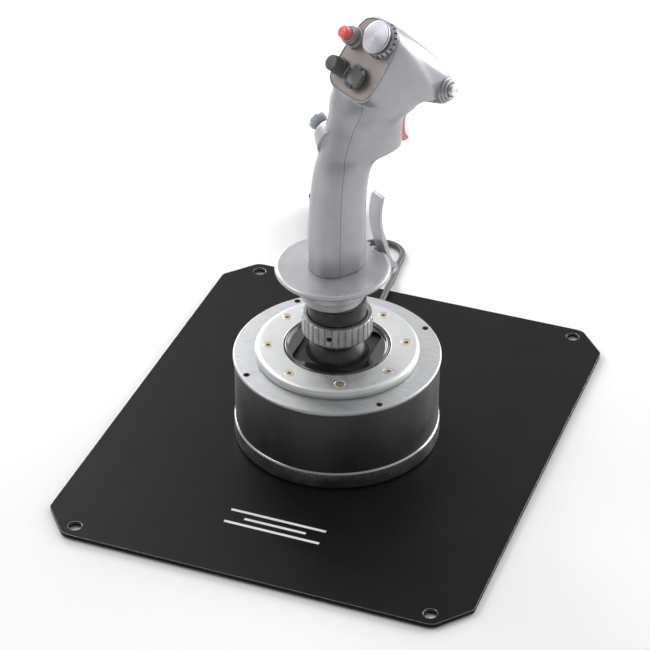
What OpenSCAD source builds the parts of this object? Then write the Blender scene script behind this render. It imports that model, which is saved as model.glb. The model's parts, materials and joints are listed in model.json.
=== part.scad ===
// Flight joystick: a force-centred ball base on a steel plate, with a screw-on pilot grip.
// Millimetres, +Z up, +Y away from the pilot. The origin is on the desk, below the centre of the plate.

/* [Mounting plate] */
// Width of the plate, left to right
plate_w = 300; // [280:1:330]
// Depth of the plate, front to back
plate_d = 350; // [330:1:380]
// Thickness of the steel plate
plate_t = 3; // [2.5:0.5:4]
// Thickness of the rubber pads under the plate
pad_t = 1.5; // [1:0.5:3]
// Corner hole spacing, left to right
hole_span_x = 250; // [230:1:260]
// Corner hole spacing, front to back
hole_span_y = 330; // [310:1:340]
// Radius of the corner holes
hole_r = 4; // [2.5:0.5:4]

/* [Base housing] */
// Outer radius of the housing rings
ring_r = 72; // [71:0.5:74]
// Height of the top ring above the plate
ring_z = 64.6; // [62:0.2:66]
// Height of the gate flange above the top ring
flange_h = 6.5; // [5.5:0.5:6.5]
// Number of flange screws
flange_screw_count = 8; // [4:1:8]

/* [Ball and collar] */
// Radius of the pivot ball
ball_r = 22.3; // [21.5:0.1:22.5]
// Number of grip ribs round the collar nut
rib_count = 32; // [20:1:36]
// Outer radius of the collar nut
collar_r = 24.3; // [23.8:0.1:24.5]

/* [Grip] */
// Turn of the grip on the collar, clockwise from above
grip_yaw = 33.35; // [0:0.05:45]
// Radius of the hand rest
rest_r = 39; // [38:0.5:39.5]
// Wall thickness of the grip shells
shell_t = 2.6; // [2.2:0.2:3]

/* [Cord] */
// Diameter of the USB cord
cord_d = 4.8; // [4:0.2:5]

/* [Hidden] */
$fn = 64;
eps = 0.01;
deck = pad_t + plate_t;
flange_z = ring_z + flange_h;

// Housing heights above the plate
cover_z = 13.6;
ring_t = 3.4;
seat_wall_r = 34;
flange_r = 57;
flange_screw_r = 47.5;
set_screw_r = 67.7;
plate_screw_r = 60;
board_z = 10;
board_t = 1.6;
board_screw_r = 52;

// The ball turns about its centre, with a running gap all round
ball_z = 60;
ball_gap = 0.3;
pin_r = 2.5;
pin_fit = 0.05;
shaft_r = 5;
neck_r = 15;
neck_top = 84;
socket_z = 89;

// Gate opening
gate_half = 25.3;
gate_corner = 7;
gate_z = 68.8;

// Hand rest and paddle
rest_y = -4;
rest_z = 137;
stub_top = 112;
paddle_y = 41;
paddle_z = 121.5;
paddle_half = 6;

// Grip sections: [rear y, rear z, front y, front z, half width, roundness]
GRIP = [
    [-20, 137.02, 18.3, 137.02, 16, 2.6],
    [-20, 163, 18.3, 163, 16, 2.6],
    [-18, 186, 18.3, 185, 16, 2.6],
    [-16, 202, 19.8, 201, 16, 2.6],
    [-14, 213, 23, 211, 16, 2.5],
    [-12.5, 219, 30, 216.5, 16.2, 2.4],
    [-11, 224, 46, 217.4, 16.44, 2.2],
    [-9.5, 229, 48.6, 220, 16.5, 2.2],
    [-7, 237, 48.6, 229, 16.8, 2.2],
    [-3.5, 247, 49, 238, 18, 2.4],
    [0, 257, 52, 244, 20.5, 2.8],
    [4, 264.6, 54.5, 245.5, 21.6, 3],
    [-9, 280, 57, 246, 22, 3],
    [1, 292, 62.5, 246, 22.8, 3],
    [13, 304, 68, 244, 22.8, 3],
    [27, 313, 72, 241.5, 22, 2.8],
    [43, 304, 75, 240, 19.5, 2.5],
    [60, 288.5, 79, 239, 17.3, 2.5],
    [73, 275, 82.5, 241, 15.3, 2.5],
    [81.5, 263, 85.5, 246, 13, 2.4]
];
section_points = 34;

// The button face: where its frame sits, and its slope
face_y = 12;
face_z = 274.6;
face_slope = 52.3;
panel_t = 3;
panel_rim = 1.3;
board_n = -14;
trim_at = [6.8, 30.2];
pickle_at = [-15.5, 22.4];
castle_at = [4.3, 1.4];
round_at = [-14, 1.6];

// Side line between the rear shell and the front shell
SEAM = [[-9, 120], [-9, 165], [-8, 195], [-6, 212], [-2.5, 228], [2, 242], [6, 255], [10.2, 272.2]];
shell_screw_at = [[-11.9, 152], [-11.5, 170], [-11.2, 188]];

// Hat mechanism, measured from the face it comes out of
hub_n = -6.5;
hub_half = 1.3;
hat_pin_r = 0.8;
hat_fit = 0.04;
stem_r = 3;
stem_bore_r = 2.1;
cup_r = 5.2;
cup_bore_r = 4.3;

// Trigger and front button
trigger_y = 53;
trigger_z = 244;
trigger_pin_r = 1.5;
trigger_half = 3.5;

// Cord route above the desk, from the strain relief to the hank of spare cord
relief_x = -19;
relief_z = 8.4;
relief_end = 94;
hank_at = [-89.4, 235];
hank_turn = 20.65;
hank_run = 72.5;
hank_inner = 12;
hank_outer = 21.6;
hank_h = 14.4;
hank_entry_v = -26.13;
CORD = [
    [-19, 94, 12.9], [-19, 101, 12.9], [-19.2, 108, 11.4], [-19.5, 115, 9.2], [-20, 123, 7.4], [-20.4, 133, 7],
    [-21, 145, 7], [-22, 158, 7], [-23, 168, 7], [-23.6, 175, 7], [-24.2, 180, 6.2], [-25, 186, 4.4],
    [-26, 192, 2.8], [-27, 199, 2.45], [-28, 207, 2.45], [-29, 215, 2.45], [-29.5, 223, 2.45], [-31.2, 230.6, 2.45],
    [-35.9, 236.8, 2.45], [-42.8, 240.4, 2.45], [-50.6, 240.7, 2.45], [-56.6, 238.6, 2.45],
    [-61.23, 235.68, 2.45], [-64.32, 230.56, 2.45], [-64.61, 224.79, 2.45], [-63.32, 220.25, 2.45], [-62.23, 217.35, 2.45]
];

// ---------- frames and helpers ----------

module on_plate() {
    translate([0, 0, deck]) children();
}

module in_grip() {
    on_plate() rotate([0, 0, -grip_yaw]) children();
}

module on_face(at = [0, 0]) {
    in_grip() in_face(at) children();
}

module in_face(at = [0, 0]) {
    translate([0, face_y, face_z]) rotate([face_slope, 0, 0]) translate([at[0], at[1], 0]) children();
}

module in_side_boss() {
    translate([-17, 1.5, 233]) rotate([0, -72, 0]) children();
}

module in_beak_boss() {
    translate([15, 76, 252]) rotate([0, 0, 20]) rotate([0, 80, 0]) children();
}

module ring_of(count, radius, start = 0) {
    for (i = [0 : count - 1])
        rotate([0, 0, start + i * 360 / count]) translate([radius, 0, 0]) children();
}

module at_corners(span_x, span_y) {
    for (sx = [-1, 1], sy = [-1, 1])
        translate([sx * span_x / 2, sy * span_y / 2, 0]) children();
}

function arc(centre, radius, from, to, steps) = [
    for (i = [0 : steps])
        let (a = from + (to - from) * i / steps)
        [centre[0] + radius * cos(a), centre[1] + radius * sin(a)]
];

module revolve(points) {
    rotate_extrude($fn = 96) polygon(points);
}

module countersunk_screw(shank_r, head_r, length) {
    head_h = head_r - shank_r;
    difference() {
        union() {
            translate([0, 0, -length]) cylinder(r = shank_r, h = length - head_h + eps, $fn = 32);
            translate([0, 0, -head_h]) cylinder(r1 = shank_r, r2 = head_r, h = head_h, $fn = 32);
        }
        translate([0, 0, -head_h * 0.6]) cylinder(r = head_r * 0.45, h = head_h, $fn = 6);
    }
}

module countersunk_hole(shank_r, head_r, length) {
    head_h = head_r - shank_r;
    translate([0, 0, -length - 1]) cylinder(r = shank_r, h = length + 2, $fn = 32);
    translate([0, 0, -head_h]) cylinder(r1 = shank_r, r2 = head_r, h = head_h, $fn = 32);
    cylinder(r = head_r, h = 1, $fn = 32);
}

// ---------- plate and housing ----------

function plate_quarter() = concat(
    arc([plate_w / 2 - 5, plate_d / 2 - 25], 5, 0, 30, 3),
    arc([plate_w / 2 - 25, plate_d / 2 - 12], 12, 58, 90, 4)
);

function plate_outline() = concat(
    plate_quarter(),
    [for (i = [len(plate_quarter()) - 1 : -1 : 0]) [-plate_quarter()[i][0], plate_quarter()[i][1]]],
    [for (p = plate_quarter()) -p],
    [for (i = [len(plate_quarter()) - 1 : -1 : 0]) [plate_quarter()[i][0], -plate_quarter()[i][1]]]
);

module mounting_plate() {
    color([0.06, 0.06, 0.065]) difference() {
        translate([0, 0, pad_t]) linear_extrude(plate_t) polygon(plate_outline());
        at_corners(hole_span_x, hole_span_y) {
            cylinder(r = hole_r, h = deck + 1);
            translate([0, 0, deck - 0.8]) cylinder(r1 = hole_r, r2 = hole_r + 0.8, h = 0.8);
        }
        translate([0, 0, pad_t]) rotate([180, 0, 0]) ring_of(6, plate_screw_r, 30)
            countersunk_hole(2, 4, plate_t);
    }
}

module rubber_pads() {
    color([0.1, 0.1, 0.1]) {
        at_corners(hole_span_x - 36, hole_span_y - 44) cylinder(r = 11, h = pad_t);
        at_corners(hole_span_x - 36, 70) cylinder(r = 11, h = pad_t);
    }
}

module plate_screws() {
    color([0.35, 0.35, 0.36]) translate([0, 0, pad_t]) rotate([180, 0, 0]) ring_of(6, plate_screw_r, 30)
        countersunk_screw(2, 4, plate_t + 3.6);
}

module base_cover() {
    color([0.72, 0.73, 0.74]) on_plate() difference() {
        union() {
            revolve([
                [0, 0], [ring_r - 1.5, 0], [ring_r, 1.5], [ring_r, cover_z - 1], [ring_r - 1, cover_z],
                [67.3, cover_z], [67.3, 19], [64.5, 19], [64.5, 4], [0, 4]
            ]);
            ring_of(4, board_screw_r, 45) cylinder(r = 3.5, h = board_z);
        }
        ring_of(6, plate_screw_r, -30) translate([0, 0, -1]) cylinder(r = 2, h = 6, $fn = 32);
        ring_of(4, board_screw_r, 45) translate([0, 0, 6]) cylinder(r = 1.5, h = 6, $fn = 32);
        translate([relief_x, 50, relief_z]) rotate([-90, 0, 0]) cylinder(r = 4, h = 30);
    }
}

module housing_shell() {
    color([0.05, 0.05, 0.055]) on_plate() difference() {
        revolve([
            [67.5, cover_z], [71, cover_z], [71, ring_z - ring_t], [62, ring_z - ring_t], [62, 54], [67.5, 48]
        ]);
        ring_of(4, set_screw_r, 45) translate([0, 0, 55]) cylinder(r = 2.2, h = 10, $fn = 32);
    }
}

module top_ring() {
    color([0.74, 0.75, 0.76]) on_plate() difference() {
        revolve([
            [38, ring_z - ring_t], [ring_r - 0.8, ring_z - ring_t], [ring_r, ring_z - ring_t + 0.8],
            [ring_r, ring_z - 0.9], [ring_r - 0.9, ring_z], [38, ring_z]
        ]);
        ring_of(4, set_screw_r, 45) translate([0, 0, 50]) cylinder(r = 2.25, h = 20, $fn = 32);
        ring_of(flange_screw_count, flange_screw_r, 22.5) translate([0, 0, 50]) cylinder(r = 2, h = 20, $fn = 32);
    }
}

module top_ring_screws() {
    color([0.12, 0.12, 0.12]) on_plate() ring_of(4, set_screw_r, 45) difference() {
        translate([0, 0, 55]) cylinder(r = 2.2, h = ring_z - 55.8, $fn = 32);
        translate([0, 0, ring_z - 2.6]) cylinder(r = 1.2, h = 3, $fn = 6);
    }
}

module gate_flange() {
    color([0.86, 0.87, 0.88]) on_plate() difference() {
        revolve(concat(
            [[35, ring_z], [flange_r, ring_z], [flange_r, ring_z + 2.2]],
            arc([flange_r - 3.5, flange_z - 3.5], 3.5, 15, 90, 5),
            [[37.4, flange_z], [36.9, flange_z - 0.5], [36.9, 67], [35, 67]]
        ));
        translate([0, 0, flange_z]) ring_of(flange_screw_count, flange_screw_r, 22.5)
            countersunk_hole(2, 3.7, flange_h);
    }
}

module flange_screws() {
    color([0.72, 0.66, 0.5]) on_plate() translate([0, 0, flange_z - 0.1])
        ring_of(flange_screw_count, flange_screw_r, 22.5) countersunk_screw(2, 3.6, flange_h + 7);
}

module gate_insert() {
    color([0.03, 0.03, 0.03]) on_plate() difference() {
        revolve(concat(
            [[0, 67], [36.7, 67], [36.7, 69.6]],
            arc([35.2, 69.6], 1.5, 0, 180, 8),
            [[33.7, gate_z], [0, gate_z]]
        ));
        translate([0, 0, 60]) gate_opening(15);
    }
}

module gate_opening(h) {
    side = 2 * gate_half;
    inner = 2 * (gate_half - gate_corner);
    translate([-side / 2, -inner / 2, 0]) cube([side, inner, h]);
    translate([-inner / 2, -side / 2, 0]) cube([inner, side, h]);
    at_corners(inner, inner) cylinder(r = gate_corner, h = h, $fn = 48);
}

// ---------- ball, seat and magnets ----------

module ball_seat() {
    color([0.2, 0.2, 0.21]) on_plate() difference() {
        revolve([
            [0, 47], [seat_wall_r, 47], [seat_wall_r, 56], [52, 56], [52, ring_z - ring_t],
            [seat_wall_r, ring_z - ring_t], [seat_wall_r, 64], [0, 64]
        ]);
        translate([0, 0, ball_z]) sphere(r = ball_r + ball_gap, $fn = 96);
        translate([0, 0, ball_z]) cylinder(r = ball_r + ball_gap, h = 10, $fn = 96);
        translate([0, 0, 40]) cylinder(r = 18.4, h = 10);
        translate([-40, 0, ball_z]) rotate([0, 90, 0]) cylinder(r = pin_r + pin_fit, h = 80, $fn = 48);
        ring_of(flange_screw_count, flange_screw_r, 22.5) translate([0, 0, 50]) cylinder(r = 2, h = 20, $fn = 32);
        at_retainer_screws() translate([0, 0, 56]) cylinder(r = 1.25, h = 10, $fn = 24);
    }
}

module at_retainer_screws() {
    for (a = [20, 160, 200, 340])
        rotate([0, 0, a]) translate([29.5, 0, 0]) children();
}

module ball_retainer() {
    color([0.08, 0.08, 0.08]) on_plate() difference() {
        translate([0, 0, 64]) cylinder(r = seat_wall_r, h = 2.3, $fn = 96);
        translate([0, 0, ball_z]) sphere(r = ball_r + ball_gap, $fn = 96);
        translate([0, 0, 66.3]) at_retainer_screws() countersunk_hole(1.25, 2.4, 2.3);
    }
}

module retainer_screws() {
    color([0.2, 0.2, 0.2]) on_plate() translate([0, 0, 66.3]) at_retainer_screws()
        countersunk_screw(1.25, 2.4, 10);
}

module fixed_magnet() {
    color([0.55, 0.55, 0.57]) on_plate() translate([0, 0, 4]) difference() {
        cylinder(r = 20, h = 16);
        translate([0, 0, -1]) cylinder(r = 10, h = 20);
    }
}

module sensor_board() {
    color([0.06, 0.3, 0.14]) on_plate() {
        difference() {
            translate([0, 0, board_z]) cylinder(r = 56, h = board_t);
            translate([0, 0, board_z - 1]) cylinder(r = 22, h = 4);
            ring_of(4, board_screw_r, 45) translate([0, 0, board_z - 1]) cylinder(r = 1.6, h = 4, $fn = 32);
        }
        translate([-6, 32, board_z + board_t]) cube([12, 12, 1.6]);
        translate([30, -8, board_z + board_t]) cube([9, 16, 7]);
        translate([-40, -6, board_z + board_t]) cube([7, 12, 5]);
        translate([0, 0, 4]) cylinder(r = 8, h = 4);
        translate([-2, -2, 8]) cube([4, 4, 1.4]);
    }
}

module board_screws() {
    color([0.6, 0.6, 0.6]) on_plate() ring_of(4, board_screw_r, 45) {
        translate([0, 0, 6]) cylinder(r = 1.5, h = board_z + board_t - 6, $fn = 32);
        translate([0, 0, board_z + board_t]) cylinder(r = 2.8, h = 1.8, $fn = 32);
    }
}

module guide_pins() {
    color([0.8, 0.8, 0.8]) on_plate() for (side = [-1, 1])
        translate([side * 27, 0, ball_z]) rotate([0, 90, 0]) cylinder(r = pin_r, h = 14, center = true, $fn = 48);
}

module pivot_ball() {
    color([0.09, 0.09, 0.095]) on_plate() difference() {
        union() {
            translate([0, 0, ball_z]) sphere(r = ball_r, $fn = 96);
            revolve(concat(
                [[0, ball_z], [12, ball_z + 8]],
                [[17.4, ball_z + 13.95], [16.1, ball_z + 15.2], [15.2, ball_z + 17.2]],
                [[neck_r, ball_z + 19], [neck_r, neck_top], [19.6, neck_top], [19.6, neck_top + 3], [0, neck_top + 3]]
            ));
        }
        guide_slots();
        translate([0, 0, 30]) cylinder(r = shaft_r, h = 16);
        translate([0, 0, 40]) cylinder(r = 4, h = 60);
    }
}

module guide_slots() {
    width = 2 * (pin_r + 0.05);
    intersection() {
        translate([0, 0, ball_z]) rotate([90, 0, 0]) difference() {
            cylinder(r = ball_r + 2, h = width, center = true, $fn = 96);
            cylinder(r = 19, h = width + 2, center = true, $fn = 96);
        }
        translate([-40, -10, ball_z - 11]) cube([80, 20, 22]);
    }
}

module lower_shaft() {
    color([0.7, 0.7, 0.7]) on_plate() difference() {
        translate([0, 0, 24]) cylinder(r = shaft_r, h = 22);
        translate([0, 0, 20]) cylinder(r = 3, h = 30);
    }
}

module moving_magnet() {
    color([0.6, 0.6, 0.62]) on_plate() difference() {
        translate([0, 0, 24]) cylinder(r = 10, h = 7);
        translate([0, 0, 20]) cylinder(r = shaft_r, h = 20);
    }
}

module connector_plate() {
    color([0.5, 0.5, 0.52]) on_plate() difference() {
        translate([0, 0, neck_top + 3]) cylinder(r = 17, h = 2);
        translate([0, 0, 80]) cylinder(r = 4, h = 20);
        ring_of(3, 11.3, 200) translate([0, 0, 80]) cylinder(r = 1.25, h = 20, $fn = 24);
    }
}

module connector_screws() {
    color([0.75, 0.75, 0.76]) on_plate() ring_of(3, 11.3, 200) difference() {
        union() {
            translate([0, 0, neck_top + 3]) cylinder(r = 1.25, h = 2.1, $fn = 24);
            translate([0, 0, socket_z]) cylinder(r = 3, h = 1.4);
        }
        translate([-4, -0.4, socket_z + 0.7]) cube([8, 0.8, 1]);
    }
}

module connector_socket() {
    color([0.78, 0.6, 0.28]) on_plate() {
        difference() {
            translate([0, 0, socket_z]) cylinder(r = 6.4, h = 6);
            translate([0, 0, socket_z + 2]) cylinder(r = 5.2, h = 5);
        }
        ring_of(5, 2.8, 90) translate([0, 0, socket_z + 2]) cylinder(r = 0.5, h = 3.4, $fn = 24);
    }
}

module collar_nut() {
    bore_r = 20.4;
    color([0.62, 0.62, 0.63]) on_plate() difference() {
        revolve([
            [neck_r + 0.1, 81.5], [21.5, 81.5], [22.3, 82.3], [collar_r, 84], [collar_r, 97.2], [collar_r - 0.8, 98],
            [bore_r + 0.6, 98], [bore_r, 97.4], [bore_r, 83.6], [neck_r + 0.1, 83.6]
        ]);
        ring_of(rib_count, collar_r + 0.35, 5) translate([0, 0, 84.6]) cylinder(r = 1, h = 20, $fn = 24);
        rotate([0, 0, -83]) translate([18, 0, 89]) rotate([0, 90, 0]) cylinder(r = 2, h = 10, $fn = 32);
    }
}

// ---------- grip ----------

module threaded_stub() {
    color([0.16, 0.16, 0.17]) in_grip()
        revolve([[15, 89.9], [19.4, 89.9], [20.3, 90.8], [20.3, stub_top], [15, stub_top]]);
}

module grip_plug() {
    color([0.1, 0.1, 0.1]) in_grip() difference() {
        union() {
            translate([0, 0, 91.5]) cylinder(r = 5, h = 10);
            translate([0, 0, 100]) cylinder(r = 15, h = 4);
        }
        rotate([0, 0, grip_yaw]) ring_of(5, 2.8, 90) translate([0, 0, 91]) cylinder(r = 0.7, h = 5, $fn = 24);
    }
}

module rest_profile() {
    revolve(concat(
        [[8, stub_top], [20.4, stub_top], [21.4, 113], [21.4, 118], [24.6, 119], [26, 120.5], [26, 125.5], [30, 127.5]],
        [[rest_r - 3.5, 131.5]],
        arc([rest_r - 3, rest_z - 2], 3, -50, 100, 7),
        [[rest_r - 6, rest_z], [8, rest_z]]
    ));
}

module hand_rest() {
    color([0.6, 0.6, 0.62]) in_grip() difference() {
        union() {
            translate([0, rest_y, 0]) rest_profile();
            translate([0, 0, stub_top]) cylinder(r = 20.3, h = 4);
        }
        translate([0, 0, 100]) cylinder(r = 8, h = 40);
        translate([0, 0, 100]) cylinder(r = 12.2, h = 34);
        paddle_notch();
    }
}

module paddle_notch() {
    translate([-paddle_half - 0.8, 31, 122]) cube([2 * paddle_half + 1.6, 20, 20]);
}

function spow(v, e) = sign(v) * pow(abs(v), e);

module grip_section(s, inset) {
    dy = s[2] - s[0];
    dz = s[3] - s[1];
    half = norm([dy, dz]) / 2 - inset;
    width = s[4] - inset;
    translate([0, (s[0] + s[2]) / 2, (s[1] + s[3]) / 2]) rotate([atan2(dz, dy), 0, 0])
        linear_extrude(0.02, center = true) polygon([
            for (i = [0 : section_points - 1])
                let (a = i * 360 / section_points)
                [width * spow(cos(a), 2 / s[5]), half * spow(sin(a), 2 / s[5])]
        ]);
}

module grip_loft(inset, first = 0, last = len(GRIP) - 1) {
    for (i = [first : last - 1])
        hull() {
            grip_section(GRIP[i], inset);
            grip_section(GRIP[i + 1], inset);
        }
}

module face_slab(from, to) {
    in_face() translate([-50, -50, from]) cube([100, 150, to - from]);
}

module rear_region() {
    translate([-40, 0, 0]) rotate([90, 0, 90]) linear_extrude(80)
        polygon(concat([[-60, 120]], SEAM, [[-60, 320]]));
}

module grip_skin() {
    difference() {
        union() {
            grip_loft(0);
            in_side_boss() translate([0, 0, -10]) cylinder(r1 = 13, r2 = 8.4, h = 10, $fn = 36);
            in_beak_boss() translate([0, 0, -15]) cylinder(r = 9.8, h = 14, $fn = 48);
        }
        face_slab(0, 80);
    }
}

module grip_pockets() {
    translate([0, 0, -0.1]) grip_loft(shell_t, 0, 14);
    intersection() {
        grip_loft(panel_rim);
        face_slab(-panel_t, 60);
    }
    in_face() translate([-15, -6.5, board_n - 2]) cube([30, 40, -panel_t - board_n + 2.1]);
    for (at = [trim_at, castle_at, round_at])
        in_face(at) translate([0, 0, -15]) cylinder(r = cup_r + 0.1, h = 20, $fn = 36);
    in_face(pickle_at) translate([0, 0, -12]) cylinder(r = 5.6, h = 20, $fn = 36);
    in_side_boss() translate([0, 0, -16]) cylinder(r = cup_r + 0.1, h = 20, $fn = 36);
    in_beak_boss() translate([0, 0, -9]) cylinder(r = 6.05, h = 20, $fn = 36);
    in_beak_boss() translate([0, 0, -1]) cylinder(r = 9.7, h = 12, $fn = 48);
    translate([-trigger_half - 0.5, 44, 213]) cube([2 * trigger_half + 1, 14.5, 37]);
    translate([-12, trigger_y, trigger_z]) rotate([0, 90, 0]) cylinder(r = trigger_pin_r + 0.05, h = 24, $fn = 24);
}

module shell_screw_bores() {
    for (at = shell_screw_at) {
        translate([-3, at[0], at[1]]) rotate([0, -90, 0]) cylinder(r = 1.55, h = 14, $fn = 24);
        translate([-12, at[0], at[1]]) rotate([0, -90, 0]) cylinder(r = 2.8, h = 12, $fn = 24);
    }
}

module front_shell() {
    color([0.58, 0.58, 0.6]) in_grip() {
        difference() {
            grip_skin();
            grip_pockets();
            rear_region();
        }
        for (at = shell_screw_at)
            difference() {
                union() {
                    translate([-8.4, at[0] - 1.9, at[1] - 3]) cube([4, 7, 6]);
                    translate([-13.8, at[0] + 4.6, at[1] - 3]) cube([9.4, 3, 6]);
                }
                translate([-15, at[0], at[1]]) rotate([0, 90, 0]) cylinder(r = 1.45, h = 20, $fn = 24);
            }
    }
}

module rear_shell() {
    color([0.6, 0.6, 0.62]) in_grip() difference() {
        intersection() {
            grip_skin();
            rear_region();
        }
        grip_pockets();
        shell_screw_bores();
    }
}

module shell_screws() {
    color([0.3, 0.3, 0.3]) in_grip() for (at = shell_screw_at)
        translate([-4, at[0], at[1]]) rotate([0, -90, 0]) {
            cylinder(r = 1.4, h = 8, $fn = 24);
            translate([0, 0, 8]) difference() {
                cylinder(r = 2.6, h = 1.6, $fn = 32);
                translate([0, 0, 0.7]) cylinder(r = 1.2, h = 2, $fn = 6);
            }
        }
}

module head_panel() {
    color([0.42, 0.38, 0.37]) in_grip() difference() {
        intersection() {
            grip_loft(panel_rim, 9);
            face_slab(-panel_t, 0);
        }
        for (at = [trim_at, castle_at, round_at])
            in_face(at) translate([0, 0, -8]) cylinder(r = cup_bore_r, h = 20, $fn = 36);
        in_face(pickle_at) translate([0, 0, -12]) cylinder(r = 5.2, h = 20, $fn = 36);
        in_side_boss() translate([0, 0, -16]) cylinder(r = cup_r + 0.1, h = 20, $fn = 36);
    }
}

module switch_board() {
    color([0.06, 0.3, 0.14]) on_face() {
        translate([-14.5, -6, board_n]) cube([29, 39, board_t]);
        translate([pickle_at[0] + 1.2, pickle_at[1] - 3, board_n + board_t]) cube([6, 6, 3]);
        translate([-8, 10, board_n - 1.5]) cube([10, 10, 1.5]);
    }
}

module wire_bundle() {
    color([0.12, 0.12, 0.12]) in_grip() {
        translate([0, 0, 104]) cylinder(r = 3, h = 96, $fn = 24);
        translate([0, 0, 200]) sphere(r = 3, $fn = 24);
        translate([0, 0, 200]) rotate([-21, 0, 0]) cylinder(r = 3, h = 66, $fn = 24);
    }
}

// ---------- hats and buttons ----------

module hat_base() {
    difference() {
        translate([0, 0, board_n + board_t]) cylinder(r = cup_r, h = -panel_t - board_n - board_t);
        translate([0, 0, board_n + board_t + 1.2]) cylinder(r = cup_bore_r, h = 20);
        translate([-8, 0, hub_n]) rotate([0, 90, 0]) cylinder(r = hat_pin_r + hat_fit, h = 16, $fn = 32);
    }
}

module hat_rocker() {
    translate([0, 0, hub_n]) {
        cube(2 * hub_half, center = true);
        rotate([0, 90, 0]) cylinder(r = hat_pin_r, h = 2 * cup_r - 0.4, center = true, $fn = 32);
        rotate([90, 0, 0]) cylinder(r = hat_pin_r, h = 2 * stem_r - 0.2, center = true, $fn = 32);
    }
}

module hat_stem_cuts() {
    translate([0, 0, -20]) cylinder(r = stem_bore_r, h = 20 + hub_n + 2.2, $fn = 32);
    translate([0, 0, hub_n]) rotate([90, 0, 0])
        cylinder(r = hat_pin_r + hat_fit, h = 20, center = true, $fn = 32);
    translate([-8, -hat_pin_r - 0.2, -20]) cube([16, 2 * hat_pin_r + 0.4, 20 + hub_n + 1.5]);
}

module trim_base() {
    color([0.55, 0.55, 0.56]) on_face(trim_at) {
        hat_base();
        difference() {
            cylinder(r1 = 12.4, r2 = 10.8, h = 3.4);
            translate([0, 0, -1]) cylinder(r = 7, h = 8);
            ring_of(20, 12.4) translate([0, 0, 1]) cylinder(r = 0.8, h = 5, $fn = 16);
        }
    }
}

module castle_base() {
    color([0.15, 0.15, 0.15]) on_face(castle_at) hat_base();
}

module round_base() {
    color([0.15, 0.15, 0.15]) on_face(round_at) hat_base();
}

module side_base() {
    color([0.75, 0.68, 0.5]) in_grip() in_side_boss() hat_base();
}

module trim_hat() {
    color([0.82, 0.82, 0.86]) on_face(trim_at) difference() {
        rotate_extrude($fn = 72) polygon(concat(
            [[0, hub_n - 1.9], [stem_r, hub_n - 1.9], [stem_r, 4.2], [9, 5.6], [10.8, 6.2]],
            arc([10.2, 7.4], 1, -40, 75, 5),
            [[7, 8.9], [0, 9.2]]
        ));
        hat_stem_cuts();
    }
}

module castle_hat() {
    color([0.13, 0.13, 0.14]) on_face(castle_at) difference() {
        union() {
            translate([0, 0, hub_n - 1.9]) cylinder(r = stem_r, h = 10);
            translate([0, 0, 1.4]) cylinder(r1 = 7, r2 = 8.4, h = 1.4);
            translate([0, 0, 2.8]) difference() {
                cylinder(r = 8.4, h = 3.4);
                translate([0, 0, 0.6]) cylinder(r = 6.2, h = 4);
                for (a = [0, 90]) rotate([0, 0, a]) translate([-10, -3, 0.9]) cube([20, 6, 4]);
            }
        }
        hat_stem_cuts();
    }
}

module round_hat() {
    color([0.2, 0.2, 0.21]) on_face(round_at) difference() {
        union() {
            translate([0, 0, hub_n - 1.9]) cylinder(r = stem_r, h = 13);
            translate([0, 0, 1.4]) cylinder(r1 = 5.8, r2 = 6.4, h = 2.2);
            translate([0, 0, 3.6]) cylinder(r = 4.8, h = 1.4);
            translate([0, 0, 5]) cylinder(r1 = 5.7, r2 = 5.1, h = 6);
        }
        ring_of(20, 5.8) translate([0, 0, 5.6]) cylinder(r = 0.5, h = 6, $fn = 16);
        hat_stem_cuts();
    }
}

module side_hat() {
    color([0.7, 0.73, 0.78]) in_grip() in_side_boss() difference() {
        union() {
            translate([0, 0, hub_n - 1.9]) cylinder(r = stem_r, h = 13);
            translate([0, 0, 4]) cylinder(r1 = 4.6, r2 = 6.3, h = 1.6);
            translate([0, 0, 5.6]) difference() {
                cylinder(r = 6.3, h = 3.6);
                translate([0, 0, 2.4]) cylinder(r = 4, h = 4);
                for (a = [0, 90]) rotate([0, 0, a]) translate([-8, -1.6, 2.4]) cube([16, 3.2, 4]);
            }
        }
        hat_stem_cuts();
    }
}

module trim_rocker() {
    color([0.7, 0.7, 0.7]) on_face(trim_at) hat_rocker();
}

module castle_rocker() {
    color([0.7, 0.7, 0.7]) on_face(castle_at) hat_rocker();
}

module round_rocker() {
    color([0.7, 0.7, 0.7]) on_face(round_at) hat_rocker();
}

module side_rocker() {
    color([0.7, 0.7, 0.7]) in_grip() in_side_boss() hat_rocker();
}

module pickle_collar() {
    color([0.4, 0.39, 0.39]) on_face(pickle_at) rotate_extrude($fn = 64) polygon([
        [4.05, -9], [5.1, -9], [5.1, 0], [7.4, 0], [7.2, 2.2], [6.4, 2.8], [6.4, 6.6], [5.9, 7.2], [5.9, 8.6],
        [5, 9.2], [4.05, 9]
    ]);
}

module pickle_button() {
    color([0.85, 0.25, 0.25]) on_face(pickle_at) rotate_extrude($fn = 64) polygon(concat(
        [[0, -7], [4, -7], [4, 13.4]],
        arc([2.8, 13.6], 1.2, 0, 90, 4),
        [[0, 15]]
    ));
}

module front_button_collar() {
    color([0.5, 0.5, 0.52]) in_grip() in_beak_boss() rotate_extrude($fn = 64) polygon([
        [4.55, -8], [5.9, -8], [5.9, -1], [9.4, -1], [9.4, 0.8], [8.2, 1.4], [8.2, 2.6], [6.8, 3.2], [6.8, 4.6], [5.4, 5.2],
        [4.55, 5]
    ]);
}

module front_button() {
    color([0.85, 0.85, 0.87]) in_grip() in_beak_boss() rotate_extrude($fn = 64) polygon(concat(
        [[0, -6], [4.5, -6], [4.5, 6.4]],
        arc([3.3, 6.6], 1.2, 0, 90, 4),
        [[0, 8]]
    ));
}

// ---------- trigger and paddle ----------

module side_plate(half, points) {
    translate([-half, 0, 0]) rotate([90, 0, 90]) linear_extrude(2 * half) polygon(points);
}

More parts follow.
